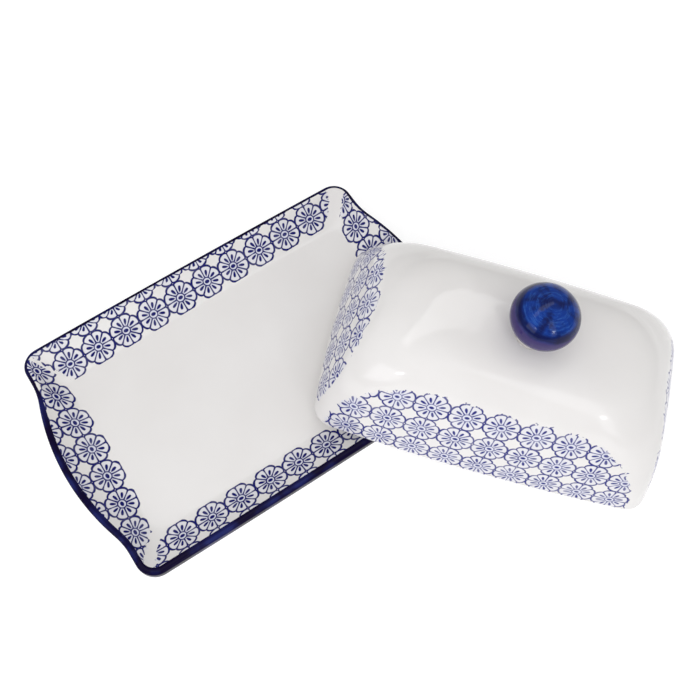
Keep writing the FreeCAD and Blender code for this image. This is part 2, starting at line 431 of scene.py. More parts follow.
GLAZE_WHITE = (0.800, 0.785, 0.775)
GLAZE_SHADE = (0.775, 0.757, 0.745)
GLAZE_IOR = 1.46
GLAZE_ROUGHNESS = 0.07
PLAIN_SHINE = 0.5  # specular level of plain glaze
INK_SHINE = 0.22  # and of glaze over cobalt
BARE_CLAY = (0.70, 0.64, 0.56)
DARK_CLAY = (0.60, 0.53, 0.44)
TRAY_INK = (0.0040, 0.0060, 0.125)
LID_INK = (0.016, 0.021, 0.195)
PALE_WASH = (0.52, 0.56, 0.82)

# The band, at lengths over the rim from the top of the inner wall
BAND_END = 11.0
BAND_SOFTNESS = 0.3  # of its end on the outside
BAND_RAGGEDNESS = 0.9
BAND_DULLING = 1.6  # how much more than ink it takes the shine away
BAND_DARK = (0.0045, 0.0020, 0.022)
BAND_LIGHT = (0.010, 0.012, 0.085)
BAND_THIN_AND_HIGHLIGHT = (0.016, 0.022, 0.125)  # lighter blue along the crest: partly the cobalt thinning where the glaze breaks, partly a painted highlight
THIN_AND_HIGHLIGHT_START = (1.7, 2.5)  # the lengths where that fades in and out
THIN_AND_HIGHLIGHT_END = (3.0, 3.8)

# The tray's roughness: the band's, and what plain glaze and bare clay add to it
BAND_ROUGHNESS = 0.06
PLAIN_ROUGHNESS = 0.15
CLAY_ROUGHNESS = 0.6

# The knob, with places as shares of the way down from its pole to its foot
COBALT_DEEP = (0.0020, 0.0080, 0.080)
COBALT = (0.0030, 0.034, 0.25)
COBALT_THIN = (0.030, 0.115, 0.42)
# Painted reflections: a dark band where the ball would mirror a dark horizon, and purple below it where it
# would mirror the white lid
KNOB_HORIZON_REFLECTION = (0.0025, 0.0025, 0.040)
KNOB_LID_REFLECTION = (0.040, 0.026, 0.125)
FLARE_WHITE_SHADED = (0.66, 0.63, 0.60)  # white glaze round the foot of the neck, toned darker and warmer than the lid's glaze as painted shade under the ball
KNOB_ROUGHNESS = 0.045
# Where the painted reflections lie on the ball
HORIZON_REFLECTION_START = (0.29, 0.34)
HORIZON_REFLECTION_END = (0.375, 0.42)
LID_REFLECTION_START = (0.36, 0.43)
FLARE_START = (0.925, 0.94)


def white_glaze(tree, place):
    """Off-white glaze with faint cloudiness."""
    return mixed(tree, cloud(tree, place, 22.0, detail=3.0).smooth(0.3, 0.7), GLAZE_WHITE, GLAZE_SHADE)


def finish_glaze(tree, shader, colour, place, ink):
    """A clear, slightly wavy coat that shines less over the ink."""
    tree.links.new(colour, shader.inputs["Base Color"])
    shader.inputs["Roughness"].default_value = GLAZE_ROUGHNESS
    shader.inputs["IOR"].default_value = GLAZE_IOR
    shine = ink * (INK_SHINE - PLAIN_SHINE) + PLAIN_SHINE
    tree.links.new(shine.socket, shader.inputs["Specular IOR Level"])
    waves = cloud(tree, place, 45.0, detail=2.0) + cloud(tree, place, 420.0, detail=1.0) * 0.03
    add_bump(tree, shader, waves + ink * 0.012, strength=0.35, distance=0.0012)


def tray_glaze():
    material, tree, shader = new_material("tray_glaze")
    place = object_place(tree)
    ink, wash = printed(tree, place, faintest=0.94, boldness=0.0)
    over_rim, foot = uv_values(tree, "Band")
    colour = mixed(tree, wash, white_glaze(tree, place), PALE_WASH)
    colour = mixed(tree, ink, colour, TRAY_INK)

    edge = (cloud(tree, place, 160.0, detail=3.0) - 0.5) * BAND_RAGGEDNESS
    band = (over_rim + edge).smooth(-EDGE_SOFTNESS, EDGE_SOFTNESS)
    band = band * (over_rim + edge * 1.5).smooth(BAND_END, BAND_END + BAND_SOFTNESS).flipped()
    thickness = cloud(tree, place, 70.0, detail=3.0).smooth(0.42, 0.72)
    # Lighter blue on the crest: partly thinning cobalt, partly a painted highlight standing in for the
    # crest's shine
    thin_and_highlight = over_rim.smooth(*THIN_AND_HIGHLIGHT_START) * over_rim.smooth(*THIN_AND_HIGHLIGHT_END).flipped() * thickness
    band_colour = mixed(tree, thickness, BAND_DARK, BAND_LIGHT)
    band_colour = mixed(tree, thin_and_highlight, band_colour, BAND_THIN_AND_HIGHLIGHT)
    colour = mixed(tree, band, colour, band_colour)

    bare = foot.smooth(0.45, 0.55)
    grit = cloud(tree, place, 1800.0, detail=3.0)
    clay = mixed(tree, grit.smooth(0.3, 0.7), BARE_CLAY, DARK_CLAY)
    colour = mixed(tree, bare, colour, clay)
    finish_glaze(tree, shader, colour, place, ink.top(band * BAND_DULLING))
    rough = bare * CLAY_ROUGHNESS + band.flipped() * PLAIN_ROUGHNESS + BAND_ROUGHNESS
    tree.links.new(rough.socket, shader.inputs["Roughness"])
    return material


def lid_glaze():
    material, tree, shader = new_material("lid_glaze")
    place = object_place(tree)
    ink, wash = printed(tree, place, faintest=0.82, boldness=-0.014)
    colour = mixed(tree, wash, white_glaze(tree, place), PALE_WASH)
    colour = mixed(tree, ink, colour, LID_INK)
    finish_glaze(tree, shader, colour, place, ink)
    return material


def knob_glaze():
    """Cobalt brushed on in rings while the knob turned, so the strokes circle its pole. A dark band round
    the ball and the purple below it are painted reflections, of a dark horizon and of the white lid.
    """
    material, tree, shader = new_material("knob_glaze")
    turn, down = uv_values(tree, "Turned")
    angle = turn * (2 * math.pi)
    across, along = angle.math("COSINE"), angle.math("SINE")
    # Noise that changes little round the knob and much down it looks like brush strokes.
    spread = down.smooth(0.0, 0.2)
    stroke_place = vector(tree, across * spread * 0.4, along * spread * 0.4, down * 8.0)
    broad_place = vector(tree, across * spread * 0.9, along * spread * 0.9, down * 2.0)
    fine = cloud(tree, stroke_place, 5.0, detail=4.0, roughness=0.7)
    broad = cloud(tree, broad_place, 2.2, detail=2.0)
    colour = mixed(tree, broad.smooth(0.35, 0.65), COBALT_DEEP, COBALT)
    light = fine.smooth(0.47, 0.68) * broad.smooth(0.25, 0.6)
    colour = mixed(tree, light * 0.55, colour, COBALT_THIN)
    wavy = down + (broad - 0.5) * 0.06
    # Painted reflections: a dark band of the horizon, and the white lid's purple reflection below it
    ring = wavy.smooth(*HORIZON_REFLECTION_START) * wavy.smooth(*HORIZON_REFLECTION_END).flipped()
    colour = mixed(tree, wavy.smooth(*LID_REFLECTION_START), colour, KNOB_LID_REFLECTION)
    colour = mixed(tree, ring * 0.85, colour, KNOB_HORIZON_REFLECTION)
    # White glaze at the neck's foot, darkened as painted shade under the ball
    colour = mixed(tree, down.smooth(*FLARE_START), colour, FLARE_WHITE_SHADED)
    tree.links.new(colour, shader.inputs["Base Color"])
    shader.inputs["Roughness"].default_value = KNOB_ROUGHNESS
    shader.inputs["IOR"].default_value = GLAZE_IOR
    shader.inputs["Specular IOR Level"].default_value = INK_SHINE
    add_bump(tree, shader, fine * 0.15 + broad, strength=0.2, distance=0.0008)
    return material


# ---------------------------------------------------------------- tray

def tray_outline(half_length, half_width, handle_half_width, reach, corner):
    """A bowed rectangle whose ends swell into handles that reach out by so much."""
    handle = bow_radius(handle_half_width, reach)
    handle_x = half_length + reach - handle
    blend_x = half_length + HANDLE_BLEND
    blend_y = math.sqrt((handle + HANDLE_BLEND) ** 2 - (blend_x - handle_x) ** 2)
    turn = math.atan2(blend_y, blend_x - handle_x)
    side = bow_radius(half_length, SIDE_BOW)
    side_y = half_width + SIDE_BOW - side
    corner_x = half_length - corner
    corner_y = side_y + math.sqrt((side - corner) ** 2 - corner_x**2)
    lean = math.atan2(corner_y - side_y, corner_x)
    straight = [(half_length, y) for y in np.linspace(blend_y, corner_y, STRAIGHT_POINTS)]
    return closed(
        joined(
            arc(handle, 0, turn, (handle_x, 0), HANDLE_POINTS),
            arc(HANDLE_BLEND, math.pi + turn, math.pi, (blend_x, blend_y), BLEND_POINTS),
            straight,
            arc(corner, 0, lean, (corner_x, corner_y), TRAY_CORNER_POINTS),
            arc(side, lean, math.pi / 2, (0, side_y), TRAY_SIDE_POINTS),
        )
    )


def inner_tray_outline(out, inset=0.0):
    """The hollow's outline, from the floor's edge, out 0, to the rim, out 1."""
    return tray_outline(
        between(FLOOR_HALF_LENGTH, HALF_LENGTH - RIM_WIDTH, out) - inset,
        between(FLOOR_HALF_WIDTH, HALF_WIDTH - RIM_WIDTH, out) - inset,
        between(FLOOR_HANDLE_HALF_WIDTH, HANDLE_HALF_WIDTH, out),
        between(FLOOR_END_REACH, HANDLE_REACH, out),
        between(FLOOR_CORNER_RADIUS, CORNER_RADIUS - RIM_WIDTH, out) - inset,
    )


def outer_tray_outline(out, inset=0.0):
    """The outside's outline, from the foot, out 0, to the rim, out 1."""
    return tray_outline(
        between(FOOT_HALF_LENGTH, HALF_LENGTH, out) - inset,
        between(FOOT_HALF_WIDTH, HALF_WIDTH, out) - inset,
        between(FLOOR_HANDLE_HALF_WIDTH, HANDLE_HALF_WIDTH, out),
        between(FLOOR_END_REACH, HANDLE_REACH, out),
        between(FLOOR_CORNER_RADIUS, CORNER_RADIUS, out) - inset,
    )


def recess_outline(grow):
    """The outline of the hollow under the tray, inside the foot ring."""
    return tray_outline(
        FOOT_HALF_LENGTH - FOOT_RING_WIDTH + grow,
        FOOT_HALF_WIDTH - FOOT_RING_WIDTH + grow,
        FLOOR_HANDLE_HALF_WIDTH,
        FLOOR_END_REACH,
        FLOOR_CORNER_RADIUS + grow,
    )


def wall_place(share):
    """How far out and up the sloping wall is at a share of its turn from floor to rim."""
    slope = between(WALL_START_SLOPE, WALL_END_SLOPE, share)
    run = math.sin(WALL_END_SLOPE) - math.sin(WALL_START_SLOPE)
    rise = math.cos(WALL_START_SLOPE) - math.cos(WALL_END_SLOPE)
    out = (math.sin(slope) - math.sin(WALL_START_SLOPE)) / run
    up = (math.cos(WALL_START_SLOPE) - math.cos(slope)) / rise
    return out, between(FLOOR_HEIGHT, TRAY_HEIGHT, up)


def underside_rings():
    """From the middle of the underside out to the foot."""
    ceiling = FLOOR_HEIGHT - FLOOR_THICKNESS
    middle = recess_outline(-FOOT_ROUND)
    rings = [shrunk(middle, share, ceiling) for share in (0.04, 0.2, 0.4, 0.6, 0.8, 0.93)]
    for turn in quarter_turns(ROUND_STEPS):
        grow = FOOT_ROUND * (math.sin(turn) - 1)
        rings.append(lifted(recess_outline(grow), ceiling - FOOT_ROUND * (1 - math.cos(turn))))
    for turn in quarter_turns(ROUND_STEPS):
        grow = FOOT_ROUND * (1 - math.cos(turn))
        rings.append(lifted(recess_outline(grow), FOOT_ROUND * (1 - math.sin(turn))))
    return rings


def foot_and_side_rings():
    """From the foot's ground face up the undercut outside to the rim's outer face."""
    rings = []
    for turn in quarter_turns(ROUND_STEPS):
        inset = FOOT_ROUND * (1 - math.sin(turn))
        rings.append(lifted(outer_tray_outline(0, inset), FOOT_ROUND * (1 - math.cos(turn))))
    flare = FOOT_FLARE / FOOT_INSET
    rim_base = TRAY_HEIGHT - RIM_DEPTH
    rings.append(lifted(outer_tray_outline(flare), FOOT_RISE))
    for share in (0.06, 0.2, 0.4, 0.6, 0.8, 0.94):
        outline = outer_tray_outline(between(flare, 1, share))
        rings.append(lifted(outline, between(FOOT_RISE, rim_base, share)))
    for share in (0.08, 0.2, 0.4, 0.6, 0.8):
        rings.append(lifted(outer_tray_outline(1), between(rim_base, TRAY_HEIGHT - RIM_ROUND, share)))
    return rings


def rim_rings():
    """Over the rounded crest of the rim, from its outer face to the top of the inner wall."""
    rings = []
    for turn in quarter_turns(CREST_STEPS):
        inset = RIM_ROUND * (1 - math.cos(turn))
        height = TRAY_HEIGHT - RIM_ROUND * (1 - math.sin(turn))
        rings.append(lifted(outer_tray_outline(1, inset), height))
    shoulder = RIM_ROUND * math.tan(WALL_END_SLOPE / 2)
    for step in range(ROUND_STEPS):
        turn = WALL_END_SLOPE * step / ROUND_STEPS
        inset = RIM_WIDTH - shoulder + RIM_ROUND * math.sin(turn)
        height = TRAY_HEIGHT - RIM_ROUND * (1 - math.cos(turn))
        rings.append(lifted(outer_tray_outline(1, inset), height))
    return rings


def wall_rings():
    """Down the inner wall to the floor."""
    rings = []
    for share in np.linspace(0.95, 0.08, WALL_ROWS):
        out, height = wall_place(share)
        rings.append(lifted(inner_tray_outline(out), height))
    return rings


def floor_rings():
    """In from the floor's edge to its middle."""
    outline = inner_tray_outline(0, FLOOR_BLEND)
    rings = [lifted(inner_tray_outline(0), FLOOR_HEIGHT + FLOOR_LIP), lifted(outline, FLOOR_HEIGHT)]
    for share in (0.97, 0.94, 0.9, 0.85, 0.78, 0.68, 0.56, 0.44, 0.32, 0.2, 0.1, 0.03):
        rings.append(shrunk(outline, share, FLOOR_HEIGHT))
    return rings


# The print on the tray, a panel of rows on each of its four sides. A row is how far its
# flowers' centres are from the tray's middle, and a start is where one of them is along it.
FAR_ROW = 52.5
FAR_ROW_LEAN = 0.025  # how much further out the row comes per millimetre to the right
NEAR_ROW = 52.5
END_ROW_CORNER = 86.43  # the end rows, at the corners
END_ROW_BOW = 2.61  # and how much nearer they come halfway along
END_ROW_HALF = 47.3
PRINT_STARTS = {"far": -72.4, "near": -68.85, "left": 38.13, "right": 52.96}
CORNER_GAP = 2.6  # half the bare stripe between two panels
HIDDEN = ((0.5, -9.5), (-50.0, 0.0))  # Print and Reach where there is no print
PRINT_ON_RIM = 3.0  # how far the print goes up onto the rim

# How far the bare stripe at a far corner is moved into the far side, at each panel's edge
FAR_SHIFT_RIGHT = 3.0
FAR_SHIFT_LEFT = 0.5
LEFT_SHIFT = 5.0
RIGHT_SHIFT = 0.7

BAND_NARROW = 2.1  # how much narrower the band is along the far side
NARROWING_RUN = 22.0  # the stretch across the tray in which it narrows
LEFT_NARROWING = 24.0  # where that starts on the left half, and on the right one
RIGHT_NARROWING = -45.0
WALL_CLEARANCE = 0.9  # keeps the band's ragged edge off the inner wall


def corner_shift(panel, x):
    if panel == "far":
        return FAR_SHIFT_RIGHT if x > 0 else FAR_SHIFT_LEFT
    return LEFT_SHIFT if panel == "left" else RIGHT_SHIFT


def end_row(along):
    return END_ROW_CORNER - END_ROW_BOW * (1 - (along / END_ROW_HALF) ** 2)


def band_narrowing(x, y):
    start = LEFT_NARROWING if x < 0 else RIGHT_NARROWING
    return BAND_NARROW * min(max((y - start) / NARROWING_RUN, 0), 1)


def mitre(x, y):
    """Distance of a place past the line from the floor's corner to the rim's, towards the end."""
    start = Vector((FLOOR_HALF_LENGTH, FLOOR_HALF_WIDTH))
    line = (Vector((HALF_LENGTH, HALF_WIDTH)) - start).normalized()
    spot = Vector((abs(x), abs(y))) - start
    return spot.x * line.y - spot.y * line.x


class Wall:
    """Distances up the sloping wall on one side of the tray, from the edge of the floor."""

    def __init__(self, rings, along, across, sign):
        self.lines = []  # for each ring, its places along, its distances out and its height
        for ring in rings:
            points = np.array([point for point in ring if sign * point[across] > 0])
            line = points[np.argsort(points[:, along])]
            self.lines.append((line[:, along], sign * line[:, across], line[0, 2]))

    def distance(self, along, out):
        """Length up the wall at a place along it and out from the middle. On the floor it's below 0."""
        places = [float(np.interp(along, line[0], line[1])) for line in self.lines]
        lengths = [0.0]
        for low, high, first, second in zip(places, places[1:], self.lines, self.lines[1:]):
            lengths.append(lengths[-1] + math.hypot(high - low, second[2] - first[2]))
        if out < places[0]:
            return out - places[0]
        return float(np.interp(out, places, lengths))


def tray_print(panel, x, y, over_rim, wall):
    """Print and Reach at a place on the inner wall, or this far over the rim from it."""
    side = panel in ("far", "near")
    along, out = (x, abs(y)) if side else (y, abs(x))
    rows = {"far": FAR_ROW + FAR_ROW_LEAN * x, "near": NEAR_ROW}
    row = rows[panel] if side else end_row(along)
    up = wall.distance(along, out) - wall.distance(along, row) + over_rim
    off = mitre(x, y) + (corner_shift(panel, x) if y > 0 else 0)
    across = (along - PRINT_STARTS[panel]) / TRAY_PITCH + 0.5
    return (across, up / TRAY_PITCH + 0.5), ((-off if side else off) - CORNER_GAP, 0.0)


def over_rim_lengths(rings, wall_row):
    """Each row's length outwards over the rim, from the first ring of the inner wall."""
    lengths = np.zeros(len(rings))
    for row in range(wall_row - 1, -1, -1):
        lengths[row] = lengths[row + 1] + math.dist(rings[row][0], rings[row + 1][0])
    return lengths


def make_tray():
    outside = underside_rings() + foot_and_side_rings()
    crest = rim_rings()
    wall = wall_rings()
    floor = floor_rings()
    rings = outside + crest + wall + floor
    wall_row = len(outside) + len(crest)
    count = len(rings[0])
    end_faces = (len(rings) - 1) * count
    mesh = ring_mesh("tray_body", rings)
    climb = [floor[0]] + wall[::-1] + [crest[-1]]
    walls = {
        "far": Wall(climb, 0, 1, 1),
        "near": Wall(climb, 0, 1, -1),
        "right": Wall(climb, 1, 0, 1),
        "left": Wall(climb, 1, 0, -1),
    }
    over_rim = over_rim_lengths(rings, wall_row)
    prints, reaches, bands = [], [], []
    known = {}
    for v, f in zip(*corners(mesh)):
        row, column = divmod(int(v), count)
        panel = panel_of(f % count, count, TRAY_END_COLUMNS)
        key = (int(v), panel)
        if key not in known:
            x, y, _ = rings[max(row, wall_row - 1)][column]
            outside_print = row < wall_row - 1 and over_rim[row] > PRINT_ON_RIM
            if outside_print or f >= end_faces:
                known[key] = HIDDEN
            else:
                known[key] = tray_print(panel, x, y, over_rim[row], walls[panel])
        prints.append(known[key][0])
        reaches.append(known[key][1])
        if row < wall_row:
            x, y, z = rings[row][column]
            bands.append((over_rim[row] - band_narrowing(x, y), 1.0 if z < BARE_HEIGHT else 0.0))
        else:
            bands.append((wall_row - row - WALL_CLEARANCE, 0.0))
    write_uv(mesh, "Print", prints)
    write_uv(mesh, "Reach", reaches)
    write_uv(mesh, "Band", bands)
    add_piece("tray_body", mesh, "tray", "tray", tray_glaze())


# ---------------------------------------------------------------- lid

def node_points(node):
    """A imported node's corners and triangles, in millimetres."""
    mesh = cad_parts[node].data
    points = np.zeros(len(mesh.vertices) * 3)
    mesh.vertices.foreach_get("co", points)
    mesh.calc_loop_triangles()
    triangles = np.zeros(len(mesh.loop_triangles) * 3, dtype=int)
    mesh.loop_triangles.foreach_get("vertices", triangles)
    return points.reshape(-1, 3) / MM, triangles.reshape(-1, 3)


def lid_frame():
    """The middle of the lid's base, and its axes, from how its surface is spread."""
    points, triangles = node_points("lid_shell")
    a, b, c = (points[triangles[:, k]] for k in range(3))
    area = np.linalg.norm(np.cross(b - a, c - a), axis=1)
    centre = (a + b + c) / 3
    middle = (centre * area[:, None]).sum(0) / area.sum()
    spread = np.zeros((3, 3))
    for spot in ((a + b) / 2, (b + c) / 2, (c + a) / 2):
        away = spot - middle
        spread += (away * area[:, None]).T @ away
    _, axes = np.linalg.eigh(spread)
    up = axes[:, np.argmax(np.abs(axes[2]))]
    up = up * np.sign(up[2])
    level = [axes[:, k] for k in range(3) if abs(axes[:, k] @ up) < 0.5]
    along = max(level, key=lambda axis: np.ptp(points @ axis))
    along = along * np.sign(along[0])
    across = np.cross(up, along)
    base = middle + up * ((points @ up).min() - middle @ up)
    return base, np.column_stack((along, across, up))


LID_BASE, LID_AXES = lid_frame()


def local_extent(node):
    """The least and the greatest place of a node in the lid's frame."""
    points, _ = node_points(node)
    local = (points - LID_BASE) @ LID_AXES
    return local.min(0), local.max(0)


SHELL_LOW, SHELL_HIGH = local_extent("lid_shell")
KNOB_LOW, KNOB_HIGH = local_extent("knob")
LID_HALF_LENGTH = (SHELL_HIGH[0] - SHELL_LOW[0]) / 2
LID_HALF_WIDTH = (SHELL_HIGH[1] - SHELL_LOW[1]) / 2


def placed(points):
    """Places in the lid's frame as places in the shared frame."""
    return (np.asarray(points) @ LID_AXES.T + LID_BASE).tolist()


def bowed_outline(half_length, half_width, corner):
    """A rectangle of shallow arcs with rounded corners that run into them smoothly."""
    side_y = half_width - LID_SIDE_RADIUS
    end_x = half_length - LID_END_RADIUS
    to_side = LID_SIDE_RADIUS - corner
    to_end = LID_END_RADIUS - corner
    span = Vector((-end_x, side_y))
    along = (to_end**2 - to_side**2 + span.length_squared) / (2 * span.length)
    across = math.sqrt(to_end**2 - along**2)
    unit = span.normalized()
    centre = Vector((end_x, 0)) + unit * along + Vector((-unit.y, unit.x)) * across
    end_turn = math.atan2(centre.y, centre.x - end_x)
    side_turn = math.atan2(centre.y - side_y, centre.x)
    return closed(
        joined(
            arc(LID_END_RADIUS, 0, end_turn, (end_x, 0), LID_END_POINTS),
            arc(corner, end_turn, side_turn, centre, LID_CORNER_POINTS),
            arc(LID_SIDE_RADIUS, side_turn, math.pi / 2, (0, side_y), LID_SIDE_POINTS),
        )
    )


def lid_sizes(level, thickness):
    """Half length, half width and corner radius at a level from base, 0, to top, 1."""
    length = LID_HALF_LENGTH - thickness
    width = LID_HALF_WIDTH - thickness
    end_inset = length * (1 - (1 - level) ** (1 / LID_END_FULLNESS))
    side_inset = width * (1 - (1 - level) ** (1 / LID_SIDE_FULLNESS))
    corner = LID_CORNER_RADIUS - thickness + LID_CORNER_GROWTH * (end_inset + side_inset) / 2
    width -= side_inset
    return length - end_inset, width, min(corner, LID_ROUNDEST * width)


def lid_ring(level, thickness, grow=0.0, height=None):
    length, width, corner = lid_sizes(level, thickness)
    if height is None:
        height = (LID_HEIGHT - thickness) * level
    return lifted(bowed_outline(length + grow, width + grow, corner + grow), height)


def crown_level(thickness):
    half_crown = NECK_FOOT_RADIUS + CROWN_MARGIN - thickness
    return 1 - (half_crown / (LID_HALF_WIDTH - thickness)) ** LID_SIDE_FULLNESS


def even_levels(thickness, lowest, count):
    """Levels at even steps along the side's profile, up to the crown."""
    fine = 1 - (1 - lowest) * np.linspace(1, 0, PROFILE_STEPS) ** 4
    fine = fine[fine <= crown_level(thickness)]
    width = (LID_HALF_WIDTH - thickness) * (1 - fine) ** (1 / LID_SIDE_FULLNESS)
    height = (LID_HEIGHT - thickness) * fine
    length = np.concatenate(([0], np.cumsum(np.hypot(np.diff(width), np.diff(height)))))
    return np.interp(np.linspace(0, length[-1], count), length, fine)


def crown_rings(thickness, height, shares):
    """Across the flat crown, or the ceiling under it."""
    outline = bowed_outline(*lid_sizes(crown_level(thickness), thickness))
    return [shrunk(outline, share, height) for share in shares]


def inside_rings():
    """From the middle of the ceiling down the inside and round the base's inner edge."""
    lowest = LID_BEVEL / (LID_HEIGHT - LID_WALL)
    wall = [lid_ring(level, LID_WALL) for level in even_levels(LID_WALL, lowest, LID_INSIDE_ROWS)][::-1]
    mouth = []
    for turn in quarter_turns(ROUND_STEPS)[1:]:
        grow = LID_BEVEL * (1 - math.cos(turn))
        height = LID_BEVEL * (1 - math.sin(turn))
        mouth.append(lid_ring(height / (LID_HEIGHT - LID_WALL), LID_WALL, grow, height))
    return crown_rings(LID_WALL, wall[0][0][2], (0.05, 0.3, 0.6, 0.85)) + wall + mouth


def outside_rings():
    """Round the base's outer edge and up the outside to the crown's edge."""
    rings = []
    for turn in quarter_turns(LID_EDGE_STEPS)[:-1]:
        grow = -LID_EDGE_ROUND * (1 - math.sin(turn))
        height = LID_EDGE_ROUND * (1 - math.cos(turn))
        rings.append(lid_ring(height / LID_HEIGHT, 0, grow, height))
    levels = even_levels(0, LID_EDGE_ROUND / LID_HEIGHT, LID_OUTSIDE_ROWS)
    return rings + [lid_ring(level, 0) for level in levels]


# The print on the lid. The near and far panels run along its long sides.
SIDE_FIRST = 6.95  # up the profile, from the base to the first row of centres
END_FIRST = 10.57
SIDE_START = -64.25  # where one centre of that row is along the side
SIDE_SHIFT = 0.55  # each row of a long side starts this much further along
END_START = 15.42
BASE_MARGIN = 0.2  # bare glaze above the base
BASE_EVENNESS = 3.0  # how much less ragged a panel is there than at its other edges
SIDE_STRAIGHT = (-28.0, 25.0)  # where a long panel's top edge is straight
SIDE_ROUND = 46.4  # half width of its rounded ends
SIDE_TOP = 46.4  # its height
FAR_LOWER = 5.0  # how much lower the far panel is
END_MIDDLE = 2.0  # an end panel's middle
END_HALF = 41.0  # its half width
END_TOP = 49.5  # its height


def side_reach(along, up):
    """How far inside a long side's panel a place is, in millimetres."""
    past = max(SIDE_STRAIGHT[0] - along, along - SIDE_STRAIGHT[1], 0)
    share = math.hypot(past / SIDE_ROUND, up / SIDE_TOP)
    return min((1 - share) * SIDE_TOP, (up - BASE_MARGIN) * BASE_EVENNESS)


def end_reach(across, up):
    """The same for an end's panel, which is half an ellipse."""
    share = math.hypot((across - END_MIDDLE) / END_HALF, up / END_TOP)
    return min((1 - share) * END_TOP, (up - BASE_MARGIN) * BASE_EVENNESS)


def lid_print(panel, along, across, side_up, end_up):
    """Print and Reach at a place on the outside, at a length up the side's and the end's profile."""
    if panel in ("near", "far"):
        near = panel == "near"
        rows_up = (side_up - SIDE_FIRST) / LID_PITCH
        past_start = (along if near else -along) - SIDE_START - SIDE_SHIFT * rows_up
        reach = side_reach(along, side_up + (0 if near else FAR_LOWER))
        return (past_start / LID_PITCH + 0.5, rows_up + 0.5), (reach, 0.0)
    past_start = (across if panel == "left" else -across) - END_START
    spot = (past_start / LID_PITCH + 0.5, (end_up - END_FIRST) / LID_PITCH + 0.5)
    return spot, (end_reach(across, end_up), 0.0)


def profile_length(rings, column):
    """Length up the profile at one column, as if the base had no rounding."""
    lengths = [0.0]
    for low, high in zip(rings, rings[1:]):
        lengths.append(lengths[-1] + math.dist(low[column], high[column]))
    rounding = LID_EDGE_ROUND * (math.pi / 2 - 1)
    return [length - rounding for length in lengths]


def make_lid():
    inner = inside_rings()
    outer = outside_rings()
    rings = inner + outer + crown_rings(0, outer[-1][0][2], (0.8, 0.6, 0.4, 0.2, 0.05))
    count = len(rings[0])
    end_faces = (len(rings) - 1) * count
    mesh = ring_mesh("lid_body", [placed(ring) for ring in rings])
    side_length = profile_length(outer, count // 4)
    end_length = profile_length(outer, 0)
    prints, reaches = [], []
    for v, f in zip(*corners(mesh)):
        row, column = divmod(int(v), count)
        row -= len(inner)
        if f >= end_faces or not 0 <= row < len(outer):
            spot, reach = HIDDEN
        else:
            along, across, _ = outer[row][column]
            panel = panel_of(f % count, count, LID_END_COLUMNS)
            spot, reach = lid_print(panel, along, across, side_length[row], end_length[row])
        prints.append(spot)
        reaches.append(reach)
    write_uv(mesh, "Print", prints)
    write_uv(mesh, "Reach", reaches)
    add_piece("lid_body", mesh, "lid", "lid_shell", lid_glaze())


# ---------------------------------------------------------------- knob

def knob_profile():
    """Radius and height from the knob's foot to its pole."""
    ball_radius = (KNOB_HIGH[0] - KNOB_LOW[0]) / 2
    crown = KNOB_LOW[2]
    centre = crown + BALL_RISE
    half_height = KNOB_HIGH[2] - centre
    join = -math.acos(NECK_RADIUS / ball_radius)
    neck_top = centre + half_height * math.sin(join)
    dip = (NECK_FOOT_RADIUS + NECK_RADIUS) / 2 - NECK_WAIST_RADIUS
    profile = []
    for step in range(NECK_ROWS):
        share = step / NECK_ROWS
        straight = between(NECK_FOOT_RADIUS, NECK_RADIUS, share)
        profile.append((straight - dip * 4 * share * (1 - share), between(crown, neck_top, share)))
    for angle in np.linspace(join, math.pi / 2, BALL_ROWS)[:-1]:
        profile.append((ball_radius * math.cos(angle), centre + half_height * math.sin(angle)))
    profile.append((POLE_RADIUS, KNOB_HIGH[2]))
    return profile


def make_knob():
    middle = (KNOB_LOW + KNOB_HIGH) / 2
    profile = knob_profile()
    rings = []
    for radius, height in profile:
        ring = []
        for column in range(KNOB_COLUMNS):
            angle = 2 * math.pi * column / KNOB_COLUMNS
            ring.append((middle[0] + radius * math.cos(angle), middle[1] + radius * math.sin(angle), height))
        rings.append(placed(ring))
    mesh = ring_mesh("knob_ball", rings)
    climbs = [0.0]
    for low, high in zip(profile, profile[1:]):
        climbs.append(climbs[-1] + math.dist(low, high))
    turned = []
    for v, f in zip(*corners(mesh)):
        row, column = divmod(int(v), KNOB_COLUMNS)
        if f % KNOB_COLUMNS == KNOB_COLUMNS - 1 and column == 0:
            column = KNOB_COLUMNS  # the seam's second side
        turned.append((column / KNOB_COLUMNS, 1 - climbs[row] / climbs[-1]))
    write_uv(mesh, "Turned", turned)
    add_piece("knob_ball", mesh, "lid", "knob", knob_glaze())


# ---------------------------------------------------------------- studio

CAMERA_AZIMUTH = math.radians(-34.72)
CAMERA_ELEVATION = math.radians(66.81)
CAMERA_ROLL = math.radians(1.19)
CAMERA_TARGET = Vector((47.547, -14.453, 0.0))
CAMERA_DISTANCE = 487.758
CAMERA_LENS = 50.043
SENSOR_WIDTH = 36.0

LIGHT_TARGET = Vector((60.0, -30.0, 30.0))
NEUTRAL = (1.0, 1.0, 1.0)
COOL_LEFT = (0.96, 0.95, 1.0)
COOL_RIGHT = (0.96, 0.97, 1.0)

# Azimuth and elevation in degrees, distance, width, height, power and colour
SOFTBOXES = {
    "boom": (180, 80, 1300, 1800, 230, 2.5, NEUTRAL),
    "window_left": (-78, 24, 1200, 700, 500, 2.0, COOL_LEFT),
    "lamp_left": (-66, 32, 1150, 90, 90, 0.3, NEUTRAL),
    "window_right": (-8, 37, 1200, 330, 1050, 1.6, COOL_RIGHT),
    "lamp_right": (-7, 28, 1150, 120, 120, 0.6, NEUTRAL),
    "fill_high": (-40, 66, 1200, 700, 700, 2.3, NEUTRAL),
    "fill_low": (-80, 40, 1200, 700, 700, 0.8, NEUTRAL),
}
FILLS = ("fill_high", "fill_low")  # these don't show in reflections

